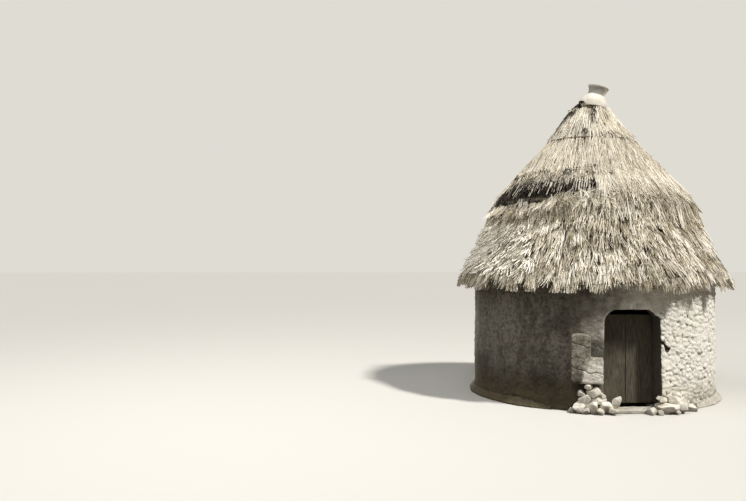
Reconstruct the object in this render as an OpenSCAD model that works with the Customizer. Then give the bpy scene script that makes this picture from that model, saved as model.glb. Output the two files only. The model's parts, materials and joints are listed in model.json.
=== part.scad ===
// Round mud-walled thatched hut with a pivoted plank door and a pot on its peak.
// The origin is the centre of the hut on the ground, +Z is up and the doorway faces -Y.

/* [Wall] */
// Radius of the wall's outer face
wall_r = 1590; // [1300:10:2000]
// Thickness of the mud wall
wall_t = 180; // [150:5:240]
// Height of the wall's top
wall_h = 1560; // [1450:10:1900]
// Number of wall segments round the hut beside the doorway's bay
segment_count = 7; // [5:1:10]
// Width of the low mud kerb round the wall's foot
kerb_w = 90; // [50:5:140]
// Height of the kerb
kerb_h = 110; // [60:5:180]
// Half angle of the gap in the kerb at the doorway
kerb_gap_a = 34; // [30:1:40]
// Height of the middle of the broken corner beside the doorway
break_z = 775; // [500:5:950]
// Depth of the broken corner beside the doorway
break_d = 45; // [20:1:70]

/* [Doorway] */
// Width of the doorway at the ground
door_w = 680; // [600:10:760]
// Width of the doorway under its rounded corners
door_top_w = 640; // [560:10:720]
// Height of the doorway's crown
door_h = 1225; // [1100:5:1350]
// Radius of the doorway's upper corners
door_corner_r = 160; // [100:5:220]
// How far the wall over the doorway bears on each jamb
head_bearing_w = 60; // [40:5:80]
// Height of the threshold stone
threshold_h = 45; // [25:5:60]
// How far the threshold stands out of the wall
threshold_out = 60; // [20:5:120]
// How far the threshold stops short of the wall's inner face
threshold_in = 8; // [4:1:40]

/* [Door] */
// Thickness of the door planks
plank_t = 32; // [22:1:40]
// Number of planks
plank_count = 2; // [2:1:4]
// Gap between planks
plank_gap = 3; // [1:0.5:6]
// How far the leaf overlaps the jamb on its free side
leaf_lap = 42; // [20:2:60]
// Distance of the leaf's top edge below the doorway's crown
leaf_down = 70; // [40:5:120]
// Height of the leaf's bottom edge
leaf_bottom = 70; // [65:5:120]
// Radius of the pivot pole that the leaf hangs on
pole_r = 28; // [22:1:34]
// Distance of the pivot pole's axis from the doorway's edge
pole_out = 52; // [46:1:70]
// How far the planks' face lies behind the pivot pole's
plank_set = 2; // [0:0.5:6]
// Radius of the pivot pole's two pins
pin_r = 15; // [10:1:20]
// Clearance of a pin in its hole
pin_gap = 0.5; // [0.3:0.1:0.8]
// Gap between the pivot pole's ends and the beam or socket stone
pole_gap = 6; // [5:0.5:12]
// Height of the ledges across the back of the planks
ledge_h = 90; // [60:5:130]
// Depth of the ledges
ledge_t = 34; // [24:2:44]
// Distance of the ledges from the leaf's top and bottom edges
ledge_in = 150; // [80:5:260]
// Distance of the ledges' free ends from the leaf's free edge
ledge_short = 25; // [10:1:60]
// Gap between the pivot pole and the wall's inner face
door_clear = 7; // [5.5:0.5:20]

/* [Beam and socket stone] */
// Height of the beam over the doorway
beam_h = 70; // [50:5:100]
// Gap between the doorway's crown and the beam
beam_up = 15; // [5:1:40]
// Depth of the beam in front of the pivot's axis and behind it
beam_d = [67, 45]; // [30:1:90]
// How far the beam runs past the pivot's axis into the wall
beam_end = 90; // [60:5:120]
// Width of wall between the beam's end and the next wall segment
bay_edge = 58; // [30:1:90]
// Width and depth of the socket stone
socket_w = [180, 200]; // [120:5:260]
// Height of the socket stone
socket_h = 48; // [36:1:60]
// Depth of the cup in the socket stone
socket_cup = 28; // [16:1:30]

/* [Roof frame] */
// Radius of the wall plate, a ring of bound withies on the wall
plate_r = 35; // [25:1:50]
// Distance of the wall plate's centre from the wall's outer face
plate_in = 45; // [40:1:80]
// Number of rafters
rafter_count = 12; // [8:1:16]
// Radius of a rafter pole
rafter_r = 30; // [22:1:36]
// Slope of the rafters in degrees
pitch = 56; // [52:0.5:60]
// How far a rafter runs down past the wall plate
rafter_tail = 75; // [20:5:100]
// Number of hoops tied over the rafters
hoop_count = 4; // [3:1:6]
// Radius of a hoop
hoop_r = 15; // [10:1:20]
// Height of the lowest hoop above the wall plate
hoop_up = 225; // [150:5:300]
// Radius of the bound knot where the rafters meet
knot_r = 150; // [130:5:180]
// How far the knot hangs below the place where the rafters meet it
knot_down = 180; // [100:10:260]
// How far the knot stands up out of the thatch inside the pot
knot_up = 150; // [130:5:170]
// Radius of the knot's rounded upper edge
knot_edge = 50; // [20:1:60]

/* [Thatch] */
// How far the eave's tips hang below the wall's top
eave_drop = 80; // [20:5:120]
// Thickness of the thatch at the eave, measured level
eave_t = 150; // [100:5:180]
// Height of the eaves course's shoulder above the eave's tips
shoulder_up = 310; // [200:10:400]
// Height of the lower course's hanging edge above the eave's tips
lower_up = 580; // [500:10:700]
// Height of the upper course's ragged ledge above the lower course's edge
upper_up = 360; // [280:10:420]
// Height of the crown course's hanging edge above the ledge
crown_up = 410; // [330:10:480]
// Depth of the cord that binds the crown course to the cap below the thatch's top
cord_down = 450; // [320:10:480]
// How far the thatch rises above the place where the rafters meet the knot
peak_up = 90; // [70:5:140]
// Level thickness of the eaves course at its shoulder and at its top
eaves_t = [95, 130]; // [70:5:180]
// Level thickness of the lower course at its hanging edge and at its top
lower_t = [165, 245]; // [150:5:280]
// Level thickness of the upper course at its hanging edge and at its top
upper_t = [325, 245]; // [200:5:360]
// Level thickness of the crown course at its hanging edge and at its top
crown_t = [290, 138]; // [110:2:330]
// Level thickness of the cap at the cord and at its top
cap_t = [75, 140]; // [60:5:170]
// How far a course reaches up under the one above it
lap = 90; // [50:5:120]
// Length over which the hanging edges are rounded
edge_r = 40; // [10:5:60]
// Number of bundles round each of the four courses, from the eaves up
bundles = [24, 20, 18, 16]; // [10:1:30]
// Depth of the furrow between two bundles at their course's hanging edge
furrow_deep = 48; // [15:1:60]
// Width of the furrow between two bundles at their course's hanging edge
furrow_w = 170; // [80:5:220]
// Part of a course's open length that its furrows run up
furrow_reach = 0.85; // [0.5:0.05:0.95]
// Depth of the hollow that has rotted under the crown's hanging edge, left of the door
hollow_deep = 120; // [40:5:130]
// Height of the hollow at the thatch's face
hollow_h = 225; // [100:5:230]
// Distance of the hollow's middle below the crown's hanging edge
hollow_down = 150; // [125:5:170]
// Angle from the doorway's middle to the hollow's right end
hollow_from = 6; // [-10:1:20]
// Angle that the hollow takes up round the roof, towards the left side
hollow_sweep = 75; // [40:5:130]
// Radius of the binding cord
cord_r = 14; // [8:1:20]

/* [Pot] */
// Radius of the pot's broken lower edge
pot_r = 205; // [180:5:230]
// Radius of the pot's neck
pot_neck_r = 118; // [100:1:135]
// Radius of the pot's lip
pot_lip_r = 150; // [125:5:180]
// Height of the pot along its own axis
pot_h = 279; // [260:1:380]
// Height of the pot's shoulder above its lower edge
pot_shoulder_h = 160; // [130:5:180]
// Height at which the neck starts to flare
pot_neck_h = 198; // [185:1:230]
// Thickness of the pot's wall
pot_t = 14; // [10:1:20]
// Lean of the pot towards +X in degrees
pot_lean = 17; // [4:1:18]

/* [Mud block] */
// Distance of the block's near edge from the doorway's edge
block_in = 7; // [2:1:60]
// Widths of the block's lower and upper parts along the wall
block_w = [360, 220]; // [150:5:450]
// Heights of the block's foot, its step and its top above the ground
block_z = [350, 660, 940]; // [300:5:1100]
// How far the block stands out of the wall
block_out = 110; // [70:5:150]
// Radius of the block's outer edges
block_edge = 25; // [10:1:30]

/* [Hidden] */
$fn = 48;
// Facets of the large rings, which keep them true to a fifth of a millimetre
ring_fn = 240;

// Gap between pieces that rest on each other
seat = 0.3;
// Distance that a cut runs past the face it opens
past = 10;
door_a = -90;
wall_in_r = wall_r - wall_t;
spring_z = door_h - door_corner_r;

// Pivot pole of the door, just inside the wall on the +X side, and the leaf beside it
pivot_x = door_w / 2 + pole_out;
pivot_y = -sqrt(pow(wall_in_r - door_clear - pole_r, 2) - pow(pivot_x, 2));
leaf_x = -(door_w / 2 + leaf_lap);
leaf_y = pivot_y - pole_r + plank_set;
leaf_top = door_h - leaf_down;
beam_z = door_h + beam_up;
beam_half = pivot_x + beam_end;
pin_z = socket_h - socket_cup;

// Half angle of the doorway's bay of wall, which holds the beam's ends, and the segments' angle
bay_a = asin((beam_half + bay_edge) / wall_in_r);
segment_a = (360 - 2 * bay_a) / segment_count;
// Half of the gap between neighbouring pieces of wall, as an angle
joint_a = seat / wall_r * 90 / PI;

// Frame line: the rafters' axes, and the place where they meet the knot
plate_z = wall_h + seat + plate_r;
rafter_off = plate_r + rafter_r + seat;
line_r = wall_r - plate_in + rafter_off * sin(pitch);
line_z = plate_z + rafter_off * cos(pitch);
peak_z = line_z + (line_r - knot_r) * tan(pitch);
tail_z = line_z - rafter_tail * sin(pitch);
rafter_len = rafter_tail + (line_r - knot_r) / cos(pitch) + 2 * rafter_r;
hoop_off = rafter_r + hoop_r + seat;
thatch_off = rafter_r + 2 * (hoop_r + seat);
thatch_top = peak_z + peak_up;
knot_z = [peak_z - knot_down, thatch_top + knot_up];
hoop_step = (knot_z[0] - plate_z - hoop_up) / (hoop_count - 0.5);

// Radius of the rafters' axes at height z, and of a cone set off from them
function frame_r(z, off = 0) = line_r - (z - line_z) / tan(pitch) + off / sin(pitch);
// Radius of the thatch's inner face at height z
function inner_r(z) = frame_r(z, thatch_off);

// Hanging edges and tops of the four courses from the eaves up, and their thicknesses
eave_z = wall_h - eave_drop;
cord_z = thatch_top - cord_down;
edge_z = [eave_z, eave_z + lower_up, eave_z + lower_up + upper_up,
    eave_z + lower_up + upper_up + crown_up];
top_z = [edge_z[1] + lap, edge_z[2] + lap, edge_z[3] + lap, cord_z];
course_t = [eaves_t, lower_t, upper_t, crown_t];
shoulder_z = eave_z + shoulder_up;
// Level thickness of course i at height z
function level_t(i, z) = let (z0 = i == 0 ? shoulder_z : edge_z[i])
    course_t[i][0] + (course_t[i][1] - course_t[i][0]) * (z - z0) / (top_z[i] - z0);

// Stones heaped at each side of the doorway's foot: distance from the doorway's edge,
// distance out from the wall, height of the foot, [width, depth, height], lean in degrees
left_heap = [
    [5, 70, -12, [170, 150, 135], 0], [150, 85, -12, [185, 160, 150], 0],
    [285, 70, -12, [160, 150, 140], 0], [75, 60, 100, [150, 130, 115], 8],
    [205, 60, 105, [160, 130, 120], -6], [125, 55, 195, [155, 110, 120], 10],
    [-75, 95, -12, [115, 110, 105], 0], [-110, 95, 72, [80, 85, 190], 34]];
right_heap = [
    [50, 85, -12, [225, 180, 150], 6], [255, 110, -12, [235, 200, 185], -8],
    [10, 45, 125, [180, 110, 80], 4], [-150, 120, -12, [140, 110, 100], 0],
    [150, 55, 90, [150, 120, 120], 12], [400, 100, -12, [140, 120, 95], 0]];

mud = [0.62, 0.58, 0.48];
mud_pale = [0.74, 0.70, 0.60];
stone = [0.60, 0.57, 0.50];
wood = [0.27, 0.24, 0.19];
pole = [0.45, 0.38, 0.28];
straw = [0.66, 0.60, 0.48];
straw_dark = [0.50, 0.45, 0.36];
clay = [0.86, 0.80, 0.68];

// A ring sector: radii r0 to r1, heights z0 to z1, from angle a0 to angle a1
module sector(r0, r1, z0, z1, a0, a1) {
    rotate([0, 0, a0]) rotate_extrude(angle = a1 - a0, $fn = ring_fn)
        translate([r0, z0]) square([r1 - r0, z1 - z0]);
}

// Half width of the doorway at height z, below its rounded corners
function door_half(z) = (door_w + (door_top_w - door_w) * z / spring_z) / 2;

// The doorway's outline, seen from the front, with its foot below the ground
module door_outline() {
    corner_x = door_top_w / 2 - door_corner_r;
    polygon([[-door_half(-past), -past], [door_half(-past), -past], [door_top_w / 2, spring_z],
        [corner_x, door_h], [-corner_x, door_h], [-door_top_w / 2, spring_z]]);
    for (x = [-corner_x, corner_x])
        translate([x, spring_z]) circle(r = door_corner_r);
}

// The doorway cut through the wall
module doorway() {
    rotate([90, 0, 0]) linear_extrude(wall_r + past) door_outline();
}

// The block of wall that bridges the doorway, before the doorway is cut
module head_block() {
    half = door_w / 2 + head_bearing_w;
    translate([-half, -wall_r - past, spring_z]) cube([2 * half, wall_r, wall_h]);
}

// The straight beam over the doorway, grown by a gap, which also makes its pocket in the wall
module beam_block(gap) {
    translate([-beam_half - gap, pivot_y - beam_d[0] - gap, beam_z - gap])
        cube([2 * (beam_half + gap), beam_d[0] + beam_d[1] + 2 * gap, beam_h + 2 * gap]);
}

module wall_over_door() {
    color(mud) difference() {
        intersection() {
            sector(wall_in_r, wall_r, spring_z, wall_h, door_a - bay_a, door_a + bay_a);
            head_block();
        }
        doorway();
        beam_block(seat);
    }
}

// One jamb: side is -1 for the left and 1 for the right
module jamb(side) {
    color(mud) difference() {
        sector(wall_in_r, wall_r, 0, wall_h, door_a + min(0, side * (bay_a - joint_a)),
            door_a + max(0, side * (bay_a - joint_a)));
        doorway();
        head_block();
        beam_block(seat);
        if (side > 0) broken_corner();
    }
}

// Mud broken out of the wall's face beside the doorway, with a crack that runs on from it
module broken_corner() {
    mid = 100;
    rotate([0, 0, door_a + asin((door_w / 2 + mid) / wall_r)])
        translate([wall_r - break_d, 0, break_z]) rotate([90, 0, 90])
            linear_extrude(break_d + past) translate([-mid, 0])
                polygon([[-20, 78], [28, 64], [58, 32], [92, 12], [122, -12], [154, -2], [214, 6],
                    [222, -8], [166, -24], [128, -60], [92, -72], [56, -44], [40, -4], [16, 30],
                    [-20, 34]]);
}

module wall_segment(i) {
    start = door_a + bay_a + (i - 1) * segment_a;
    color(mud) sector(wall_in_r, wall_r, 0, wall_h, start + joint_a, start + segment_a - joint_a);
}

// Rounded kerb of mud that throws rain off the wall's foot
module mud_kerb() {
    r0 = wall_r + seat;
    edge = kerb_w / 2;
    color(mud) rotate([0, 0, door_a + kerb_gap_a])
        rotate_extrude(angle = 360 - 2 * kerb_gap_a, $fn = ring_fn) {
            translate([r0, 0]) square([kerb_w, kerb_h - edge]);
            translate([r0, 0]) square([edge, kerb_h]);
            translate([r0 + edge, kerb_h - edge]) circle(r = edge);
        }
}

// Stepped block of mud on the wall's face, left of the doorway
module mud_block() {
    near = door_a - asin((door_w / 2 + block_in) / wall_r);
    // Degrees for each millimetre of width along the block's middle
    deg = 180 / (PI * (wall_r + block_out / 2));
    color(mud_pale) {
        block_part(near - block_w[0] * deg, near, block_z[0], block_z[1]);
        block_part(near - block_w[0] * deg, near - (block_w[0] - block_w[1]) * deg,
            block_z[1] - block_edge, block_z[2]);
    }
}

module block_part(a0, a1, z0, z1) {
    rotate([0, 0, a0]) rotate_extrude(angle = a1 - a0, $fn = ring_fn)
        translate([wall_r + seat, z0]) {
            square([block_out - block_edge, z1 - z0]);
            translate([0, block_edge]) square([block_out, z1 - z0 - 2 * block_edge]);
            for (z = [block_edge, z1 - z0 - block_edge])
                translate([block_out - block_edge, z]) circle(r = block_edge, $fn = 32);
        }
}

// The threshold's block, grown by a gap
module threshold_block(gap) {
    half = door_half(threshold_h) + gap;
    translate([-half, -wall_r - threshold_out - max(gap, 0), 0])
        cube([2 * half, wall_t + threshold_out - threshold_in, threshold_h]);
}

module threshold() {
    color(stone) threshold_block(-seat);
}

// A fieldstone over z = 0: a hull of balls whose places come from a seed
module fieldstone(size, seed) {
    r = 0.3 * min(size);
    shift = rands(0, 1, 12, seed);
    hull() for (i = [0 : 5]) {
        a = 60 * i + 30 * shift[i];
        z = i % 2 == 0 ? 0 : (0.7 + 0.3 * shift[6 + i]) * (size.z - 2 * r);
        translate([(size.x / 2 - r) * cos(a), (size.y / 2 - r) * sin(a), z + r])
            sphere(r = r, $fn = 16);
    }
}

// Stones heaped against the wall's foot: side is -1 for the left and 1 for the right
module stone_heap(side, stones) {
    reach = 2 * wall_r;
    color(stone) difference() {
        for (i = [0 : len(stones) - 1]) {
            x = door_w / 2 + stones[i][0];
            y = stones[i][1] + sqrt(wall_r * wall_r - x * x);
            translate([side * x, -y, stones[i][2]]) rotate([0, side * stones[i][4], 0])
                rotate(37 * i) fieldstone(stones[i][3], i + 1);
        }
        cylinder(r = wall_r + seat, h = wall_h, $fn = ring_fn);
        threshold_block(seat);
        translate([-reach / 2, -reach, -reach]) cube(reach);
    }
}

// Beam with its ends in the wall, and the hole for the pivot pole's upper pin
module door_head_beam() {
    color(wood) difference() {
        beam_block(0);
        translate([pivot_x, pivot_y, beam_z - past])
            cylinder(r = pin_r + pin_gap, h = beam_h + 2 * past);
    }
}

// Flat stone inside the wall, with a cup that the pivot pole's lower pin turns in
module door_socket_stone() {
    color(stone) difference() {
        intersection() {
            translate([pivot_x - socket_w[0] / 2, pivot_y - socket_w[1] / 2, 0])
                cube([socket_w[0], socket_w[1], socket_h]);
            cylinder(r = wall_in_r - seat, h = wall_h, $fn = ring_fn);
        }
        translate([pivot_x, pivot_y, pin_z - seat])
            cylinder(r = pin_r + pin_gap, h = socket_cup + past);
    }
}

// Pivot pole of the door, with a pin at each end
module door_stile() {
    color(wood) translate([pivot_x, pivot_y, 0]) {
        translate([0, 0, pin_z]) cylinder(r = pin_r, h = beam_z + beam_h - pole_gap - pin_z);
        translate([0, 0, socket_h + pole_gap])
            cylinder(r = pole_r, h = beam_z - socket_h - 2 * pole_gap);
    }
}

// The pivot pole's round, which the planks and ledges are cut to
module pole_cut() {
    translate([pivot_x, pivot_y, 0]) cylinder(r = pole_r + seat, h = wall_h);
}

module door_plank(i) {
    w = (pivot_x - leaf_x) / plank_count;
    gap = i == plank_count ? 0 : plank_gap;
    color(wood) difference() {
        translate([leaf_x + (i - 1) * w, leaf_y, leaf_bottom])
            cube([w - gap, plank_t, leaf_top - leaf_bottom]);
        pole_cut();
    }
}

// Two ledges across the back of the planks, let against the pivot pole
module door_ledges() {
    x = leaf_x + ledge_short;
    color(wood) difference() {
        for (z = [leaf_bottom + ledge_in, leaf_top - ledge_in - ledge_h])
            translate([x, leaf_y + plank_t, z]) cube([pivot_x - x, ledge_t, ledge_h]);
        pole_cut();
    }
}

// A pole bent into a ring: radius of the ring, height of its axis, radius of the pole
module ring_pole(ring, z, r) {
    rotate_extrude($fn = ring_fn) translate([ring, z]) circle(r = r, $fn = 32);
}

module wall_plate() {
    color(pole) ring_pole(wall_r - plate_in, plate_z, plate_r);
}

// A rafter runs from its tail, past the wall plate, up to the knot's face
module rafter(i) {
    color(pole) rotate([0, 0, door_a + (i - 0.5) * 360 / rafter_count]) difference() {
        translate([frame_r(tail_z), 0, tail_z]) rotate([0, pitch - 90, 0])
            cylinder(r = rafter_r, h = rafter_len);
        cylinder(r = knot_r + seat, h = 2 * thatch_top);
        translate([-2 * knot_r, -knot_r, 0]) cube([2 * knot_r, 2 * knot_r, 2 * thatch_top]);
    }
}

module hoops() {
    color(pole) for (i = [0 : hoop_count - 1]) {
        z = plate_z + hoop_up + i * hoop_step;
        ring_pole(frame_r(z, hoop_off), z, hoop_r);
    }
}

// Bound bundle that the rafters butt on, with a rounded head inside the pot
module rafter_knot() {
    color(straw) rotate_extrude() {
        translate([0, knot_z[0]]) square([knot_r, knot_z[1] - knot_z[0] - knot_edge]);
        translate([0, knot_z[0]]) square([knot_r - knot_edge, knot_z[1] - knot_z[0]]);
        translate([knot_r - knot_edge, knot_z[1] - knot_edge]) circle(r = knot_edge);
    }
}

// Points that round the corner p of an outline that comes from a and goes on to b
function round_corner(a, p, b, r) = let (
    from = p + r * (a - p) / norm(a - p), to = p + r * (b - p) / norm(b - p))
    [for (t = [0 : 0.25 : 1]) pow(1 - t, 2) * from + 2 * t * (1 - t) * p + t * t * to];

// Furrows between the bundles of course i, whose hanging edge has its tip at [radius, height]
// and is lip thick. Each is a notch in the edge, and runs out at the face higher up.
module furrows(i, tip, lip) {
    open_z = i < 3 ? edge_z[i + 1] : cord_z;
    end_z = tip.y + furrow_reach * (open_z - tip.y);
    end = [inner_r(end_z) + level_t(i, end_z), end_z];
    for (k = [0 : bundles[i] - 1]) {
        deep = min(furrow_deep, 0.6 * lip) * (0.8 + 0.2 * sin(97 * k + 50 * i));
        run = tip - [deep, 0] - end;
        turn = (k + 0.22 * sin(137 * k + 61 * i)) * 360 / bundles[i];
        rotate([0, 0, turn]) translate([end.x, 0, end.y]) rotate([0, atan2(run.x, run.y), 0])
            translate([0, 0, -edge_r]) linear_extrude(norm(run) + 2 * edge_r)
                polygon([[0, 0], [-3 * deep, 1.5 * furrow_w], [-3 * deep, -1.5 * furrow_w]]);
    }
}

// Hollow in the upper course's face: its foot and head are level, and its back is narrow
module rotted_hollow() {
    z = edge_z[3] - hollow_down;
    half = hollow_h / 2;
    foot_r = inner_r(z - half) + level_t(2, z - half);
    head_r = inner_r(z + half) + level_t(2, z + half);
    back_r = (foot_r + head_r) / 2 - hollow_deep;
    turn = door_a - hollow_from - hollow_sweep;
    rotate([0, 0, turn]) rotate_extrude(angle = hollow_sweep, $fn = ring_fn)
        polygon([[back_r, z - half / 4], [back_r, z + half / 4], [head_r, z + half],
            [foot_r + hollow_deep, z + half], [foot_r + hollow_deep, z - half],
            [foot_r, z - half]]);
}

// Eaves course: a thick butt that hangs past the wall
module thatch_eaves() {
    butt_r = inner_r(tail_z);
    tip = [butt_r + eave_t, eave_z];
    shoulder = [inner_r(shoulder_z) + eaves_t[0], shoulder_z];
    color(straw) difference() {
        rotate_extrude($fn = ring_fn) polygon(concat(
            [[butt_r, eave_z]],
            round_corner([butt_r, eave_z], tip, shoulder, edge_r),
            [shoulder, [inner_r(top_z[0]) + eaves_t[1], top_z[0]], [inner_r(top_z[0]), top_z[0]],
                [butt_r, tail_z]]));
        furrows(0, tip, eave_t);
    }
}

// A course above the eaves: its hanging edge laps over the top of the course below
module course(i) {
    z = edge_z[i];
    top = [inner_r(top_z[i]) + course_t[i][1], top_z[i]];
    foot = [inner_r(z) + level_t(i - 1, z) + seat, z];
    tip = [inner_r(z) + course_t[i][0], z];
    under_z = top_z[i - 1] + seat;
    color(straw) difference() {
        rotate_extrude($fn = ring_fn) polygon(concat(
            [foot],
            round_corner(foot, tip, top, min(edge_r, 0.7 * (tip.x - foot.x))),
            [top, [inner_r(top.y), top.y], [inner_r(under_z), under_z],
                [inner_r(under_z) + course_t[i - 1][1] + seat, under_z]]));
        furrows(i, tip, tip.x - foot.x);
        if (i == 2) rotted_hollow();
    }
}

// Cap: combed straw gathered round the knot above the binding cord
module thatch_cap() {
    // Level at which the cap closes in on the knot, just above the rafters' ends
    close_z = peak_z + rafter_r / cos(pitch) + 4;
    foot = [inner_r(cord_z) + cap_t[0], cord_z + seat];
    rim = [inner_r(thatch_top) + cap_t[1], thatch_top];
    color(straw) rotate_extrude($fn = ring_fn) polygon(concat(
        [[inner_r(foot.y), foot.y], foot],
        round_corner(foot, rim, [knot_r, thatch_top], edge_r / 2),
        [[knot_r + seat, thatch_top], [knot_r + seat, close_z], [inner_r(close_z), close_z]]));
}

// Cord round the cap's foot, on the shelf that the crown course's top makes
module binding_cord() {
    ring = inner_r(cord_z) + max(cap_t[0] + cord_r * 1.35, crown_t[1] - cord_r * 1.5);
    color(straw_dark) ring_pole(ring, cord_z + seat + cord_r, cord_r);
}

// Radius of the pot at height z above its broken edge: shoulder, neck and flared lip
function pot_radius(z) =
    z < pot_shoulder_h ? pot_neck_r + (pot_r - pot_neck_r) * cos(90 * z / pot_shoulder_h)
    : z < pot_neck_h ? pot_neck_r
    : pot_neck_r + (pot_lip_r - pot_neck_r) * pow((z - pot_neck_h) / (pot_h - pot_neck_h), 1.5);

pot_steps = 22;
pot_heights = [for (i = [0 : pot_steps]) pot_h * i / pot_steps];
pot_lift = pot_r * sin(pot_lean) + seat;
// The pot's inner left side at height z on its own axis, as [x, z] over the thatch's top
function pot_side(z) = let (r = pot_radius(z) - pot_t)
    [z * sin(pot_lean) - r * cos(pot_lean), pot_lift + z * cos(pot_lean) + r * sin(pot_lean)];
// Half width of the knot's head at height z over the thatch's top
function knot_half(z) = let (d = z - (knot_up - knot_edge))
    d < 0 ? knot_r : knot_r - knot_edge + sqrt(max(0, knot_edge * knot_edge - d * d));
// How far the pot slides towards +X until its inner left side lies on the knot's head
pot_slide = min([for (z = pot_heights) let (p = pot_side(z))
    if (p.y < knot_up) -knot_half(p.y) - p.x]) - seat;

// Old pot without its base, set over the knot: it rests on the thatch and leans on the knot
module finial_pot() {
    color(clay) translate([pot_slide, 0, thatch_top + pot_lift]) rotate([0, pot_lean, 0])
        rotate_extrude($fn = 96) polygon(concat(
            [for (z = pot_heights) [pot_radius(z), z]],
            [for (i = [pot_steps : -1 : 0]) [pot_radius(pot_heights[i]) - pot_t, pot_heights[i]]]));
}

wall_over_door();
jamb(-1);  // left_jamb
jamb(1);  // right_jamb
for (i = [1 : segment_count])
    wall_segment(i);
mud_kerb();
mud_block();
threshold();
stone_heap(-1, left_heap);  // left_doorstone
stone_heap(1, right_heap);  // right_doorstone
door_head_beam();
door_socket_stone();
door_stile();
for (i = [1 : plank_count])
    door_plank(i);
door_ledges();
wall_plate();
for (i = [1 : rafter_count])
    rafter(i);
hoops();
rafter_knot();
thatch_eaves();
course(1);  // thatch_lower
course(2);  // thatch_upper
course(3);  // thatch_crown
thatch_cap();
binding_cord();
finial_pot();
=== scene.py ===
"""Looks of a round thatched hut: mud wall, layered grass roof, plank door and a pot on the peak."""
import json
import math
import random

import bmesh
import bpy
from mathutils import Euler, Matrix, Vector, noise
from mathutils.bvhtree import BVHTree


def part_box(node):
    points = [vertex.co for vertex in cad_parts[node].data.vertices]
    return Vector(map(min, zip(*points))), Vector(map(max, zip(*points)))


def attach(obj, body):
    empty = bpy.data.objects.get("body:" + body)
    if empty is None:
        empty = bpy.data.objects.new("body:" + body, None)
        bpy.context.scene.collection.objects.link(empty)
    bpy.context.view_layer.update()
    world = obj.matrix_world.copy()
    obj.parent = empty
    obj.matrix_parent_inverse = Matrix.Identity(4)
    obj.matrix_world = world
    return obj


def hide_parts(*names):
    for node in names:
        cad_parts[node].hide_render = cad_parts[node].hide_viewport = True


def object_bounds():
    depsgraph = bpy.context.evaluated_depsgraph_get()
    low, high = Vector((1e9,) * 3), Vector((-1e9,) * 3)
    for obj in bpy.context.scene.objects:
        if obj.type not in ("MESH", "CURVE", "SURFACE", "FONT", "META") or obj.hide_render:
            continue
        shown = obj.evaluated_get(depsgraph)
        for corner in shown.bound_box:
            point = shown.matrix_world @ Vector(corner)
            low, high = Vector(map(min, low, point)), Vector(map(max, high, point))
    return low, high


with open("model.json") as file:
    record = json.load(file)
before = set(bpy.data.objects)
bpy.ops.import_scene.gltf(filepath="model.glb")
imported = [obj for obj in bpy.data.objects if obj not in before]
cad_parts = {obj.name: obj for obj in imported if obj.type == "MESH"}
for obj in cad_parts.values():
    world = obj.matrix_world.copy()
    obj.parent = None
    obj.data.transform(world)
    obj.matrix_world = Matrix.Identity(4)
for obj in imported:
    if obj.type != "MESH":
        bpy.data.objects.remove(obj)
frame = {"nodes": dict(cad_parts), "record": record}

cad_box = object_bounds()
# Without a seed, the shifts between the three values of noise_vector follow the clock
noise.seed_set(5)
MM = 0.001
HUT = "hut"
DOOR = "door"
# Angle round the hut at which its doorway lies
DOOR_SIDE = -math.pi / 2


def stood(name, data, place=(0, 0, 0), way=None):
    """An object of data in the scene, at a place and looking along way."""
    made = bpy.data.objects.new(name, data)
    made.location = place
    if way:
        made.rotation_euler = Vector(way).to_track_quat("-Z", "Y").to_euler()
    bpy.context.collection.objects.link(made)
    return made


# Camera, at a standing person's eye height, level, with the hut right of the frame's middle
camera_data = bpy.data.cameras.new("camera")
camera_data.sensor_fit = "HORIZONTAL"
camera_data.sensor_width = 36
camera_data.lens = 38.606
bpy.context.scene.camera = stood("camera", camera_data, (-3.497, -10.958, 1.932),
                                 (0.0436, 0.999, 0))


# Small helpers for materials

EVEN = (1, 1, 1)


def srgb(text):
    """An sRGB hex colour as linear RGBA."""
    parts = [int(text[i:i + 2], 16) / 255 for i in (1, 3, 5)]
    return [p / 12.92 if p <= 0.04045 else ((p + 0.055) / 1.055) ** 2.4 for p in parts] + [1]


def add(tree, kind, inputs=None, **settings):
    """Adds a node and gives its outputs. Sets what settings name, and fills or links what inputs
    name or number."""
    node = tree.nodes.new("ShaderNode" + kind)
    for name, value in settings.items():
        setattr(node, name, value)
    for name, value in (inputs or {}).items():
        if isinstance(value, bpy.types.NodeSocket):
            tree.links.new(value, node.inputs[name])
        else:
            node.inputs[name].default_value = value
    return node.outputs


def patterns(tree, place, *rows):
    """Noise patterns, one for each row of lump size in mm, detail, roughness and how much finer it
    is along each axis."""
    found = []
    for size, detail, rough, finer in rows:
        where = add(tree, "Mapping", {0: place, 3: finer})[0]
        inputs = {"Vector": where, "Scale": 1 / (size * MM), "Detail": detail, "Roughness": rough}
        found.append(add(tree, "TexNoise", inputs)[0])
    return found


def painted(tree, color, layers, held=1):
    """Colour with layers over it, one for each row of a value, the two ends between which the layer
    comes in, how much of it shows at each end, and its colour. All are held back by held."""
    for value, low, high, at_low, at_high, tint in layers:
        ends = {0: value, 1: low, 2: high, 3: at_low, 4: at_high}
        shown = add(tree, "MapRange", ends, interpolation_type="SMOOTHSTEP")[0]
        if held != 1:
            shown = add(tree, "Math", {0: shown, 1: held}, operation="MULTIPLY")[0]
        over = {0: shown, 6: color, 7: srgb(tint)}
        color = add(tree, "Mix", over, data_type="RGBA")[2]
    return color


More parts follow.
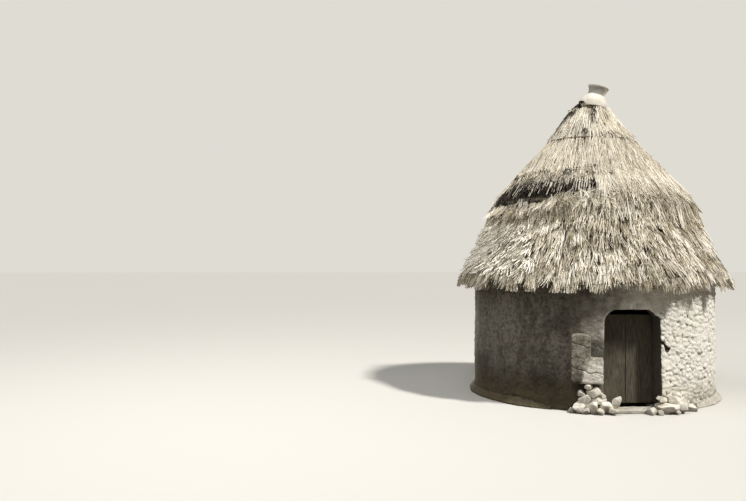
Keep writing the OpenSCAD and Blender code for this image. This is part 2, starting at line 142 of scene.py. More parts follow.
def finish(name, surface, rough, specular=0.5, depth=0):
    """A material whose colour and height surface(tree, place) gives. The height stands out by
    depth in metres."""
    made = bpy.data.materials.new(name)
    made.use_nodes = True
    tree = made.node_tree
    shader = tree.nodes["Principled BSDF"].inputs
    color, height = surface(tree, add(tree, "TexCoord")["Object"])
    tree.links.new(color, shader["Base Color"])
    shader["Roughness"].default_value = rough
    shader["Specular IOR Level"].default_value = specular
    if depth:
        bump = add(tree, "Bump", {"Strength": 1, "Distance": depth, "Height": height})
        tree.links.new(bump[0], shader["Normal"])
    return made


# Materials: what each is, and what that gives the eye

def mud_surface(light, middle, dark, left_shade_strength):
    """Hand-laid earth: pale dried skin, chopped straw, pits and hairline cracks."""
    def surface(tree, place):
        across, deep, height = add(tree, "SeparateXYZ", {0: place})
        broad, patches, grit, straw_bits, spots, pale, stains = patterns(
            tree, place, (550, 3, 0.55, EVEN), (90, 4, 0.6, EVEN), (7, 3, 0.7, EVEN),
            (12, 2, 0.5, (1, 1, 4)), (45, 3, 0.65, EVEN), (60, 4, 0.7, EVEN),
            (260, 4, 0.65, (1, 1, 0.6)))
        cracks = {"Vector": place, "Scale": 1 / (45 * MM), "Randomness": 0.9}
        cells = add(tree, "TexVoronoi", cracks, feature="DISTANCE_TO_EDGE")[0]
        edge, low, wet = (
            add(tree, "Math", {0: a, 1: b}, operation=kind)[0]
            for a, b, kind in ((across, patches, "ADD"), (height, broad, "SUBTRACT"),
                               (height, patches, "SUBTRACT")))
        left_shade, front, whole, uncracked = (
            add(tree, "MapRange", {0: value, 1: start, 2: end},
                interpolation_type="SMOOTHSTEP")[0]
            for value, start, end in ((edge, 0.8, -0.2), (deep, 0.7, -0.4), (cells, 0, 0.05),
                                      (broad, 0.5, 0.62)))
        painted_sunlight, painted_shade = (add(tree, "Attribute", attribute_name=name)["Fac"]
                       for name in ("painted_sunlight", "painted_shade"))
        color = painted(tree, srgb(middle), [
            (patches, 0.32, 0.66, 0, 1, light), (broad, 0.42, 0.7, 0, 0.2, dark),
            (grit, 0.3, 0.42, 0.3, 0, "#6A604D"), (straw_bits, 0.66, 0.74, 0, 0.35, "#E2D9C2")])
        # Left of the door, towards the front, painted shade darkens the skin. Within it handfuls of
        # other earth show as spots a hand wide, rain has left broad stains, and it darkens towards
        # the foot
        color = painted(tree, color, [(deep, 0.7, -0.4, 0, left_shade_strength, "#4E4636")], left_shade)
        left_front_shade = add(tree, "Math", {0: left_shade, 1: front}, operation="MULTIPLY")[0]
        color = painted(tree, color, [
            (pale, 0.54, 0.66, 0, 0.3, "#B5AA92"), (spots, 0.47, 0.6, 0, 0.55, "#463E30"),
            (stains, 0.48, 0.66, 0, 0.55, "#3A3327"), (low, -0.2, 0.2, 0.8, 0, "#332C21")], left_front_shade)
        # Splash darkens the foot, a painted pool of sunlight lightens the block's lower right, and
        # painted shade darkens the room, the doorway's sides, broken recesses, the slits below
        # lumps and the block's upper parts
        color = painted(tree, color, [
            (wet, -0.5, -0.05, 0.55, 0, "#75694F"), (painted_sunlight, 0, 1, 0, 0.85, "#F6F0E2"),
            (painted_shade, 0.1, 0.9, 0, 0.95, "#2E281D")])
        lumps = add(tree, "Math", {0: patches, 1: 3, 2: grit}, operation="MULTIPLY_ADD")
        skin = add(tree, "Math", {0: whole, 1: uncracked}, operation="MAXIMUM")
        return color, add(tree, "Math", {0: lumps[0], 1: skin[0]},
                          operation="ADD")[0]
    return surface


def straw_surface(light, middle, dark, root):
    """Weathered grass stalks: each has its own tone, a root darkened by dirt and by painted shade,
    and a bleached tip.
    """
    def surface(tree, place):
        stalk_map = add(tree, "UVMap", uv_map="stalk")[0]
        tone, along, _ = add(tree, "SeparateXYZ", {0: stalk_map})
        bunch, weather = patterns(tree, place, (50, 2, 0.55, EVEN), (500, 3, 0.55, EVEN))
        mixed = add(tree, "Math", {0: tone, 1: bunch}, operation="ADD")[0]
        # The last layer darkens stalks whose tone lies below nought: a few at random, and the tufts
        # that paint the shade under the crown's hem and below the pot
        return painted(tree, srgb(dark), [
            (mixed, 0.5, 0.95, 0, 1, middle), (mixed, 0.95, 1.35, 0, 1, light),
            (along, 0, 0.5, 0.5, 0, root), (weather, 0.5, 0.7, 0, 0.35, "#A0947C"),
            (tone, 0, -0.5, 0, 1, "#332D23")]), None
    return surface


def packed_surface(tree, place):
    """Packed grass below the loose stalks, dark as painted shade between them, with streaks that
    run down the slope, and lighter in the combed courses at the top."""
    across, deep, height = add(tree, "SeparateXYZ", {0: place})
    angle = add(tree, "Math", {0: deep, 1: across}, operation="ARCTAN2")[0]
    around = add(tree, "CombineXYZ", {0: angle, 1: height})[0]
    # A streak is 5 thousandths of a radian wide, a stalk of 7 mm where the roof's radius is 1.4 m
    streaks, = patterns(tree, around, (5, 3, 0.6, (1, 0.03, 1)))
    patches, = patterns(tree, place, (120, 3, 0.55, EVEN))
    return painted(tree, srgb("#2B251B"), [
        (streaks, 0.35, 0.68, 0, 1, "#6E634E"), (patches, 0.4, 0.7, 0, 0.5, "#3A3326"),
        (height, 2.85, 3.05, 0, 0.75, "#857A62")]), streaks


def pole_surface(tree, place):
    """Peeled poles and withies: grey-brown, smoke-darkened, with long grain and a few knots."""
    grain, knots = patterns(tree, place, (12, 4, 0.6, (1, 1, 0.12)), (90, 2, 0.55, EVEN))
    return painted(tree, srgb("#4A3F2F"), [
        (grain, 0.3, 0.7, 0, 1, "#8C7A5C"), (knots, 0.6, 0.7, 0, 0.7, "#3B3124")]), grain


def plank_surface(tree, place):
    """Hewn door planks, nearly black with smoke and age, with open grain up and down."""
    grain, wear = patterns(tree, place, (10, 5, 0.65, (1, 1, 0.06)), (160, 3, 0.55, EVEN))
    return painted(tree, srgb("#35312A"), [
        (grain, 0.3, 0.72, 0, 1, "#6A6353"), (wear, 0.5, 0.75, 0, 0.35, "#7C7462")]), grain


def stone_surface(tree, place):
    """Weathered field stone: pale rind, grey grain and earth in the hollows."""
    broad, grain = patterns(tree, place, (120, 4, 0.6, EVEN), (6, 4, 0.7, EVEN))
    height = add(tree, "SeparateXYZ", {0: place})[2]
    fine = add(tree, "Math", {0: broad, 1: grain}, operation="ADD")[0]
    return painted(tree, srgb("#CDC5B3"), [
        (broad, 0.35, 0.65, 0, 1, "#F7F2E6"), (grain, 0.32, 0.5, 0.5, 0, "#5E5647"),
        (height, 0.09, 0, 0, 0.6, "#6B6151")]), fine


def clay_surface(tree, place):
    """Low-fired pale pot: chalky skin and faint throwing lines, with painted shade inside and below
    the rim.
    """
    broad, grit, lines = patterns(tree, place, (90, 4, 0.6, EVEN), (4, 3, 0.7, EVEN),
                                  (20, 2, 0.5, (0.25, 0.25, 3)))
    painted_shade = add(tree, "Attribute", attribute_name="painted_shade")["Fac"]
    fine = add(tree, "Math", {0: lines, 1: grit}, operation="ADD")[0]
    return painted(tree, srgb("#E5DFD1"), [
        (broad, 0.42, 0.68, 0, 1, "#D6CEBB"), (grit, 0.3, 0.42, 0.35, 0, "#94866B"),
        (lines, 0.55, 0.72, 0, 0.22, "#857A64"), (painted_shade, 0.1, 1, 0, 0.9, "#2B261F")]), fine


def cord_surface(tree, place):
    """Twisted grass cord, dry and grey, darker between its strands."""
    fibres, = patterns(tree, place, (6, 3, 0.6, EVEN))
    return painted(tree, srgb("#3F3729"), [(fibres, 0.3, 0.7, 0, 1, "#8D8165")]), fibres


sun_dried_mud = finish("sun_dried_mud", mud_surface("#FCF8EE", "#F4EEDF", "#CFC6B2", 0.8),
                       0.93, 0.25, 4 * MM)
pale_mud = finish("pale_mud", mud_surface("#EEE7D7", "#DAD0BB", "#B3A993", 0.4),
                  0.93, 0.25, 4 * MM)
weathered_grass = finish("weathered_grass",
                         straw_surface("#FBF5E8", "#EBE2CE", "#A3977F", "#6A604E"), 0.62, 0.3)
combed_grass = finish("combed_grass",
                      straw_surface("#FCF7EA", "#F1E9D8", "#CFC5B0", "#BDB29C"), 0.62, 0.3)
packed_grass_and_shade = finish("packed_grass_and_shade", packed_surface, 0.9, depth=6 * MM)
peeled_poles = finish("peeled_poles", pole_surface, 0.75, depth=2 * MM)
smoked_planks = finish("smoked_planks", plank_surface, 0.8, 0.3, 3 * MM)
field_stone = finish("field_stone", stone_surface, 0.88, depth=3 * MM)
chalky_clay = finish("chalky_clay", clay_surface, 0.8, depth=1.5 * MM)
twisted_grass = finish("twisted_grass", cord_surface, 0.85, depth=2 * MM)


# Small helpers for shapes

def mesh_of(name, bm):
    """The mesh of a bmesh, which is used up."""
    mesh = bpy.data.meshes.new(name)
    bm.to_mesh(mesh)
    bm.free()
    return mesh


def piece(name, bm, material, body=HUT, stands_for=(), smooth=True):
    """Makes an object of bm that rides on a body and may stand for CAD nodes."""
    made = stood(name, mesh_of(name, bm))
    made.data.materials.append(material)
    if smooth:
        made.data.shade_smooth()
    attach(made, body)
    if stands_for:
        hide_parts(*stands_for)
    return made


def node_copy(*names):
    """A bmesh with merged copies of CAD nodes."""
    joined = bmesh.new()
    for name in names:
        joined.from_mesh(frame["nodes"][name].data)
    bmesh.ops.remove_doubles(joined, verts=joined.verts, dist=0.02 * MM)
    return joined


def reworked(bm, kind, group=(), **settings):
    """A new bmesh: bm after one modifier, which may keep to a group of its vertices."""
    made = stood("skin", mesh_of("skin", bm))
    step = made.modifiers.new(kind.lower(), kind)
    for name, value in settings.items():
        setattr(step, name, value)
    if group:
        made.vertex_groups.new(name="group").add(group, 1.0, "REPLACE")
        step.vertex_group = "group"
    view = bpy.context.evaluated_depsgraph_get()
    result = bmesh.new()
    result.from_mesh(bpy.data.meshes.new_from_object(made.evaluated_get(view)))
    bpy.data.objects.remove(made)
    return result


def grained(bm, voxel):
    """An even skin over bm, with its corners slightly worn, as a new bmesh."""
    return reworked(bm, "REMESH", mode="VOXEL", voxel_size=voxel, adaptivity=0)


def sewn(bm, gap):
    """Merges the seams of a spun bmesh and turns its faces outwards."""
    bmesh.ops.remove_doubles(bm, verts=bm.verts, dist=gap)
    bmesh.ops.recalc_face_normals(bm, faces=bm.faces)


def around(angle, radius=1, z=0):
    """The place at an angle round the hut's middle, at a radius and height."""
    return Vector((math.cos(angle) * radius, math.sin(angle) * radius, z))


def angle_of(place):
    """The angle round the hut's middle at which a place lies."""
    return math.atan2(place.y, place.x)


# A distance that lies outside the hut
OUTSIDE = 9
# An angle at which a ray keeps clear of the edges of a spun mesh
CLEAR = 0.4321


def radii(node):
    """Functions that give a round CAD node's outer radius at an angle and height, and its inner
    radius at a height."""
    bm = bmesh.new()
    bm.from_mesh(frame["nodes"][node].data)
    tree = BVHTree.FromBMesh(bm)
    bm.free()
    low, high = (corner.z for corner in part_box(node))

    def level(z):
        return Vector((0, 0, min(high - MM, max(low + MM, z))))

    def outer(angle, z):
        way = around(angle)
        return tree.ray_cast(way * OUTSIDE + level(z), -way)[0].xy.length

    def inner(z):
        return tree.ray_cast(level(z), around(CLEAR))[0].xy.length
    return outer, inner


def ramp(value, low, high):
    """0 below low, 1 above high and soft between; low may lie above high."""
    t = min(1, max(0, (value - low) / (high - low)))
    return t * t * (3 - 2 * t)


# Mud wall, laid by hand in rows of lumps

WALL_NODES = ["wall_over_door", "left_jamb", "right_jamb"]
WALL_NODES += [name for name in frame["nodes"] if name.startswith("wall_segment_")]
wall_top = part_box("wall_segment_3")[1].z
reaches = [v.co.xy.length for v in frame["nodes"]["wall_segment_3"].data.vertices]
wall_r = max(reaches)
wall_inner_r = min(reaches)
door_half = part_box("threshold")[1].x
# Width of a lump of mud, how many times it is wider than high, and how far its edges wander
LUMP = 98 * MM
LUMP_FLAT = 1.8
LUMP_SWAY = 0.022
# Where the wall's corner lies over the block's step, and the doorway's right edge, in X
STEP_CORNER = (-0.54, -0.33)
WORN_EDGE = (0.30, 0.50)


def off_door(angle):
    """Angle from the door's middle, below 0 to its left as seen from outside."""
    return math.remainder(angle - DOOR_SIDE, math.tau)


def chance(*numbers):
    """A fixed number from 0 to 1 for three whole numbers."""
    return noise.cell(Vector([n * 1.37 + 0.5 for n in numbers])) * 0.5 + 0.5


def lump_height(angle, z):
    """Height of the hand-laid lumps of mud at a place on the wall, and how near it is to an open
    slit below one of them, both from 0 to 1."""
    place = around(angle, wall_r, z * LUMP_FLAT)
    place = (place + noise.noise_vector(place * 7) * LUMP_SWAY) / LUMP
    gaps, middles = noise.voronoi(place)
    # Each lump is pressed on from above, so its lower edge stands out and shades the next
    droop = 0.8 - 0.4 * (place.z - middles[0].z)
    # In places the hand smoothed them together
    smoothed = ramp(noise.noise(place * 0.45 + Vector((7, 2, 0))), 0.0, 0.3)
    edge = min(1, 5.5 * (gaps[1] - gaps[0]) + 0.75 * smoothed)
    whole = [math.floor(n * 9) for n in middles[0]]
    below = ramp(place.z - middles[0].z, 0.0, -0.35) * ramp(noise.noise(place * 0.7), -0.35, 0.1)
    return edge * max(0, droop) * (0.65 + 0.4 * chance(*whole)), (1 - edge) * below


def roughness_at(angle):
    """How far the lumps stand out: bold right of the door, nearly smoothed over left of it."""
    off = off_door(angle)
    if abs(off) > 2.0:
        return 16 * MM
    return (13 + 17 * ramp(off, 0.05, 0.22)) * MM


def rough_mud_wall():
    """The whole wall in one skin, with its lumps, swellings, worn doorway and painted shade."""
    bm = grained(node_copy(*WALL_NODES), 15 * MM)
    # The inner face, top and foot are plain, so they are thinned before the relief is made
    middle_r = (wall_r + wall_inner_r) / 2
    plain = [i for i, v in enumerate(bm.verts)
             if v.co.xy.length < middle_r or v.co.z > wall_top - 0.01 or v.co.z < 0.01]
    bm = reworked(bm, "DECIMATE", plain, ratio=0.52, use_collapse_triangulate=True)
    bm.normal_update()
    painted_shade = bm.verts.layers.float.new("painted_shade")
    for v in bm.verts:
        radius = v.co.xy.length
        z = v.co.z
        angle = angle_of(v.co)
        outward = Vector((v.co.x, v.co.y, 0)) / radius
        facing = v.normal.dot(outward)
        # Painted shade on the faces turned away from outside, such as the doorway's sides, and in
        # recessed broken places
        v[painted_shade] = max(ramp(facing, 0.8, 0.3), 0.85 * ramp(wall_r - radius, 0.012, 0.03))
        if v.co.y < 0 and STEP_CORNER[0] < v.co.x < STEP_CORNER[1]:
            # Painted shade darkens the corner over the block's step
            v[painted_shade] = max(v[painted_shade], 0.6 * ramp(z, 0.58, 0.63) * ramp(z, 0.9, 0.82))
        if v.co.y < 0 and WORN_EDGE[0] < v.co.x < WORN_EDGE[1]:
            # The doorway's right edge has worn back at the wall's face
            worn = ramp(v.co.x, WORN_EDGE[1], 0.34) * ramp(radius, wall_r - 0.15, wall_r)
            v.co.x += 36 * MM * worn * ramp(z, 1.3, 1.1)
        level = ramp(z, 0.0, 0.03) * ramp(z, wall_top, wall_top - 0.03)
        swell = noise.noise(v.co * 1.6) * 14 * MM
        if facing > 0.25:
            amount = roughness_at(angle)
            grain = noise.noise(v.co * 28) * 0.12 * amount
            lump, slit = lump_height(angle, z)
            # Painted shade in the open slits below the lumps, where the lumps are bold
            v[painted_shade] = max(v[painted_shade], 0.95 * slit * ramp(amount, 13 * MM, 28 * MM))
            lift = amount * (lump - 0.55) + swell + grain - 5 * MM
            v.co += outward * lift * level * facing
        elif facing > -0.25:
            v.co += v.normal * noise.noise(v.co * 12) * 7 * MM * level
        else:
            away = ramp(abs(off_door(angle)), 0.3, 0.5)
            v.co += outward * (abs(noise.noise(v.co * 5)) * 8 * MM) * level * away
    piece("mud_wall", bm, sun_dried_mud, stands_for=WALL_NODES)


def worn_copy(name, nodes, voxel, amount, size, material, shape=None):
    """An even, worn skin over CAD nodes, with noise of that amount and size of lump."""
    bm = grained(node_copy(*nodes), voxel)
    bm.normal_update()
    foot = min(v.co.z for v in bm.verts)
    for v in bm.verts:
        near = noise.noise(v.co / size) + 0.5 * noise.noise(v.co / size * 2.7)
        keep = ramp(v.co.z, foot, foot + 0.02)
        v.co += v.normal * (near - 0.35) * amount * keep
        if shape:
            shape(v)
        v.co.z = max(v.co.z, foot)
    return piece(name, bm, material, HUT, nodes)


KERB_END = math.radians(34)


def taper_kerb(v):
    """The kerb of mud fades out where it nears the doorway, and leans on the wall."""
    angle = angle_of(v.co)
    full = ramp(abs(off_door(angle)), KERB_END - 0.02, KERB_END + 0.2)
    over = v.co.xy.length - wall_r
    lean = 1 - 0.8 * ramp(over, 0.0, 0.10)
    slump = 0.8 + 0.5 * noise.noise(around(angle, 4))
    v.co.z *= min(1, 0.4 + 0.6 * full * slump) * lean
    v.co.xy *= (wall_r + over * (0.45 + 0.55 * full * slump)) / v.co.xy.length


# The block's two cracks, each as points (X, Z) from left to right
BLOCK_CRACKS = [[(-0.72, 0.838), (-0.66, 0.822), (-0.60, 0.806), (-0.55, 0.778), (-0.50, 0.784)],
                [(-0.72, 0.548), (-0.66, 0.520), (-0.58, 0.508), (-0.52, 0.470), (-0.45, 0.492),
                 (-0.35, 0.455)]]
# Half the height and the depth of a crack
CRACK_HALF = 9 * MM
CRACK_DEEP = 14 * MM
# The sides of the block's upper part, each with the way to its middle, and its corners' round
BLOCK_SIDES = ((-0.72, 1), (-0.50, -1))
ROUND_R = 0.10
ROUND_Z = 0.84


def crack_block(v):
    """Opens the cracks and rounds off the block's upper corners."""
    for side_x, way in BLOCK_SIDES:
        past = ROUND_R - way * (v.co.x - side_x)
        rise = v.co.z - ROUND_Z
        if past > 0 and rise > 0 and math.hypot(past, rise) > ROUND_R:
            v.co.z = ROUND_Z + rise * ROUND_R / math.hypot(past, rise)
    for line in BLOCK_CRACKS:
        for (x0, z0), (x1, z1) in zip(line, line[1:]):
            if x0 <= v.co.x < x1:
                t = (v.co.x - x0) / (x1 - x0)
                z = z0 + (z1 - z0) * t + 6 * MM * noise.noise(Vector((v.co.x * 60, 0, z0)))
                depth = 1 - abs(v.co.z - z) / CRACK_HALF
                if depth > 0:
                    v.co.y += depth * CRACK_DEEP


# Width that is left of a ball of radius 1 after its breaks
BROKEN_BALL = 1.42


def field_stone_at(bm, draw, place, size, lean, turn):
    """A weathered stone: a ball cut by flat breaks, then worn."""
    made = bmesh.ops.create_icosphere(bm, subdivisions=3, radius=1)
    breaks = [(Vector([draw.gauss(0, 1) for _ in range(3)]).normalized(), draw.uniform(0.46, 0.7))
              for _ in range(12)]
    shift = Vector([draw.uniform(0, 50) for _ in range(3)])
    turned = Euler((0, lean, turn)).to_matrix()
    for v in made["verts"]:
        p = v.co.copy()
        for way, depth in breaks:
            past = p.dot(way) - depth
            if past > 0:
                p -= way * past
        p *= 1 + 0.08 * noise.noise(p * 1.7 + shift) + 0.03 * noise.noise(p * 5 + shift)
        p = Vector([along * wide / BROKEN_BALL for along, wide in zip(p, size)])
        v.co = place + turned @ p
        v.co.z = max(v.co.z, 0)


# Stones: distance from the doorway's edge, out from the wall, height of the middle, then the
# stone's width, depth and height, all in millimetres, and its lean in degrees
LEFT_STONES = [
    (5, 75, 60, 165, 150, 130, 0), (150, 92, 62, 185, 165, 145, 0),
    (292, 74, 55, 160, 150, 130, 0), (75, 62, 155, 150, 130, 112, 8),
    (210, 62, 158, 160, 130, 115, -6), (128, 55, 245, 150, 115, 112, 10),
    (-62, 130, 42, 110, 105, 95, 0), (-100, 105, 130, 78, 84, 190, 34),
    (82, 165, 34, 90, 80, 70, 20), (232, 160, 36, 105, 85, 72, -14), (365, 80, 30, 85, 80, 62, 8),
    (20, 60, 205, 90, 80, 62, -20), (262, 62, 228, 95, 90, 66, 16),
    (172, 60, 305, 92, 84, 66, -8)]
RIGHT_STONES = [
    (50, 95, 62, 225, 185, 145, 6), (252, 118, 76, 230, 200, 175, -8),
    (12, 52, 165, 180, 110, 76, 4), (-140, 130, 38, 135, 110, 90, 0),
    (148, 62, 150, 150, 125, 112, 12), (398, 104, 42, 140, 120, 92, 0),
    (-60, 160, 30, 85, 75, 64, 10), (150, 190, 32, 95, 80, 68, -12),
    (345, 60, 110, 110, 95, 76, -16), (470, 72, 26, 80, 70, 54, 6),
    (245, 60, 192, 110, 92, 70, 8)]


def stone_heap(name, node, side, stones, seed):
    """The heap at one side of the doorway's foot."""
    draw = random.Random(seed)
    bm = bmesh.new()
    for along, out, middle, width, depth, height, lean in stones:
        x = door_half + along * MM
        y = out * MM + math.sqrt(wall_r ** 2 - x ** 2)
        field_stone_at(bm, draw, Vector((side * x, -y, middle * MM)),
                       (width * MM, depth * MM, height * MM), side * math.radians(lean),
                       draw.uniform(0, 3))
    piece(name, bm, field_stone, stands_for=(node,), smooth=False)


# Door and poles

def cut_copy(name, cuts, worn=0):
    """A copy of a CAD node with its flat faces merged, its sharp edges taken off by worn, and cut
    for relief: cuts holds pairs of an axis and how many slices lie along it."""
    low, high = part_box(name)
    bm = node_copy(name)
    bmesh.ops.dissolve_limit(bm, angle_limit=0.02, verts=bm.verts, edges=bm.edges)
    if worn:
        bm.normal_update()
        sharp = [e for e in bm.edges if len(e.link_faces) == 2 and e.calc_face_angle(0) > 0.9]
        bmesh.ops.bevel(bm, geom=sharp, offset=worn, segments=2, profile=0.5, affect="EDGES",
                        material=-1)
    for axis, count in cuts:
        way = Vector((0, 0, 0))
        way[axis] = 1
        for i in range(1, count):
            at = way * (low[axis] + (high[axis] - low[axis]) * i / count)
            bmesh.ops.bisect_plane(bm, geom=bm.verts[:] + bm.edges[:] + bm.faces[:], dist=1e-6,
                                   plane_co=at, plane_no=way)
    bm.normal_update()
    return bm


def hewn_plank(name):
    """One plank of the door's leaf: hewn faces, worn corners and shrinkage grooves."""
    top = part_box(name)[1].z
    bm = cut_copy(name, ((0, 42), (2, 36)), 4 * MM)
    for v in bm.verts:
        at = v.co
        grain = noise.noise(Vector((at.x * 90, at.y * 20, at.z * 2.2)))
        adze = noise.noise(Vector((at.x * 14, at.y * 9, at.z * 7)))
        groove = max(0, 0.35 - abs(noise.noise(Vector((at.x * 11, 3.7, at.z * 0.35))))) ** 2
        v.co -= v.normal * (0.9 * (1 + grain) + 1.2 * (1 + adze) + 14 * groove) * MM
        # The head is worn round, lowest at its ends
        head = ramp(at.z, top - 0.05, top)
        v.co.z -= head * 0.05 * abs(at.x) ** 2
    piece(name + "_hewn", bm, smoked_planks, DOOR, (name,))


def hewn_beam(name):
    """The squared beam over the doorway, with hewn faces and worn corners."""
    bm = cut_copy(name, ((0, 24),), 5 * MM)
    for v in bm.verts:
        v.co -= v.normal * (1 + noise.noise(v.co * 24)) * 1.2 * MM
    piece(name + "_hewn", bm, smoked_planks, HUT, (name,))


def natural_pole(name):
    """A pole as it grew: slight swellings, knots and a wandering surface."""
    bm = cut_copy(name, ((2, 26),))
    for v in bm.verts:
        swell = noise.noise(v.co * 3.1) * 2.5 + noise.noise(v.co * 17) * 1.2 - 2
        v.co += v.normal * swell * MM
    piece(name + "_peeled", bm, peeled_poles, HUT, (name,))


def ring_around(bm, radius, z, thick, strands, lays, steps, sides, relief_depth, wander=0.0):
    """A ring of laid strands, or of one natural pole if there are no strands."""
    made = bmesh.ops.create_circle(bm, segments=sides, radius=thick)
    turn = Matrix.Translation((radius, 0, z)) @ Matrix.Rotation(math.pi / 2, 4, "X")
    bmesh.ops.transform(bm, matrix=turn, verts=made["verts"])
    edges = list({e for v in made["verts"] for e in v.link_edges})
    bmesh.ops.spin(bm, geom=made["verts"] + edges, axis=(0, 0, 1), cent=(0, 0, 0), steps=steps,
                   angle=math.tau, use_merge=True)
    ring = [v for v in bm.verts if abs(v.co.z - z) < thick * 2]
    for v in ring:
        angle = angle_of(v.co)
        over = v.co.xy.length - radius
        section = math.atan2(v.co.z - z, over)
        lobe = abs(math.cos((strands * section + lays * angle) / 2)) if strands else 1
        near = noise.noise(v.co * 9)
        size = 1 - relief_depth * (1 - lobe) + 0.08 * near
        side = around(angle)
        sway = wander * noise.noise(around(angle, 2, z))
        v.co = side * (radius + over * size) + Vector((0, 0, z + (v.co.z - z) * size + sway))


def ring_sizes(node):
    """The rings in a CAD node, lowest first: each one's middle radius, height and thickness."""
    found = []
    for v in sorted(frame["nodes"][node].data.vertices, key=lambda v: v.co.z):
        if not found or v.co.z - found[-1][-1].z > 0.1:
            found.append([])
        found[-1].append(v.co)
    sizes = []
    for ring in found:
        across = [p.xy.length for p in ring]
        high = [p.z for p in ring]
        sizes.append(((max(across) + min(across)) / 2, (max(high) + min(high)) / 2,
                      (max(high) - min(high)) / 2))
    return sizes


def rings(name, node, material, slot, **settings):
    """Rings in place of those of a CAD node."""
    bm = bmesh.new()
    for radius, z, thick in ring_sizes(node):
        ring_around(bm, radius, z, thick, **settings)
    sewn(bm, 0.05 * MM)
    return piece(name, bm, material, HUT, (node,))


def lashed_knot():
    """Bundle at the peak: stalks on end, bound with cord, their cut heads open to the pot."""
    low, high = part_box("rafter_knot")
    reach = high.x
    draw = random.Random(31)
    bm = bmesh.new()
    layer = bm.loops.layers.uv.new("stalk")
    for ring_r, count in ((0.9, 44), (0.68, 30), (0.45, 20), (0.2, 9)):
        for i in range(count):
            angle = (i + draw.uniform(-0.3, 0.3)) / count * math.tau
            thick = draw.uniform(9, 13) * MM
            root = around(angle) * (reach * ring_r - 3 * MM)
            root.z = low.z + 4 * MM + draw.uniform(0, 0.01)
            tall = high.z - root.z - draw.uniform(0.0, 0.05) - (0.02 if ring_r > 0.8 else 0)
            stalk(bm, layer, root, Vector((0, 0, 1)), tall, thick * 1.7, draw.random())
    piece("lashed_knot", bm, combed_grass, HUT, ("rafter_knot",), smooth=False)
    cords = bmesh.new()
    for z in (low.z + 0.09, high.z - 0.13, high.z - 0.10):
        ring_around(cords, reach - 8 * MM, z, 8 * MM, 3, 3 * 24, 144, 8, 0.3, 6 * MM)
    sewn(cords, 0.05 * MM)
    piece("knot_cords", cords, twisted_grass)


# Side of the pot's broken gap, as an angle round its middle
POT_BREAK = -2.95


def worn_pot():
    """The old pot: a skin over its CAD shape with throwing ridges and a chipped foot."""
    low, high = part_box("finial_pot")
    bm = grained(node_copy("finial_pot"), 7.5 * MM)
    bm.normal_update()
    painted_shade = bm.verts.layers.float.new("painted_shade")
    middle = (low + high) / 2
    for v in bm.verts:
        up = v.co.z + 0.3 * v.co.x - low.z
        out = Vector((v.co.x - middle.x, v.co.y, 0))
        inside = ramp(v.normal.dot(out.normalized()), 0.1, -0.3)
        # Painted shade darkens its inside, and a band of painted shade lies below the rim on the
        # left
        v[painted_shade] = inside * ramp(up, 0.27, 0.2)
        rim_shade = 0.66 * ramp(up, 0.21, 0.235) * ramp(up, 0.36, 0.325)
        side = ramp(v.co.x - middle.x, 0.17, 0.05) + 0.4 * noise.noise(v.co * 14)
        v[painted_shade] = max(v[painted_shade], rim_shade * min(1, side + 0.2))
        off_break = abs(math.remainder(angle_of(out) - POT_BREAK, math.tau))
        v.co.z += math.exp(-(off_break / 0.3) ** 2) * ramp(up, 0.11, 0.0) * 34 * MM
        # Its lifted foot has sagged down to the thatch, but for the broken side
        lifted = 0.27 * max(0, middle.x + 0.16 - v.co.x) * ramp(off_break, 0.3, 0.65)
        v.co.z -= lifted * ramp(up, 0.16, 0.0)
        ridge = math.sin(up * 330 + 2 * noise.noise(v.co * 6)) * 0.7
        wobble = noise.noise(v.co * 9) * 2.2
        v.co += v.normal * (ridge + wobble - 1) * MM
        chip = max(0, noise.noise(Vector((v.co.x * 26, v.co.y * 26, 0)))) * ramp(up, 0.11, 0.02)
        v.co.z += chip * 16 * MM
    piece("worn_pot", bm, chalky_clay, HUT, ("finial_pot",))


# Thatch: a packed core for each course, with loose stalks laid over it in tufts

# Radii of a stalk's three-cornered ends, at its root and its tip, for a width of 1
STALK_ROOT = 0.58
STALK_TIP = 0.3


def stalk(bm, layer, root, way, length, width, tone):
    """One three-sided stalk from root along way, thinner at its tip."""
    turn = way.to_track_quat("Z", "Y").to_matrix().to_4x4()
    place = Matrix.Translation(root + way * (length / 2)) @ turn
    place = place @ Matrix.Rotation(tone * 6.28, 4, "Z")
    made = bmesh.ops.create_cone(bm, cap_ends=True, segments=3, radius1=width * STALK_ROOT,
                                 radius2=width * STALK_TIP, depth=length, matrix=place)
    for vert in made["verts"]:
        along = (vert.co - root).dot(way) / length
        for loop in vert.link_loops:
            loop[layer].uv = (tone, along)


def tuft(seed, count, width, lengths, widths, yaw, lift, back, gather, tones):
    """A tuft of stalks in its own frame: X across the slope, Y down it and Z away from it."""
    draw = random.Random(seed)
    bm = bmesh.new()
    layer = bm.loops.layers.uv.new("stalk")
    base = draw.random()
    for _ in range(count):
        length = draw.uniform(*lengths)
        root = Vector((draw.uniform(-width, width) / 2, -draw.uniform(0, back),
                       draw.uniform(-0.012, 0.006)))
        side = draw.gauss(0, yaw) + gather * math.atan2(root.x, length)
        way = Euler((draw.uniform(*lift), 0, side)).to_matrix() @ Vector((0, 1, 0))
        tone = tones[0] + (tones[1] - tones[0]) * (0.65 * base + 0.35 * draw.random())
        stalk(bm, layer, root, way, length, draw.uniform(*widths), tone)
    return mesh_of("tuft", bm)
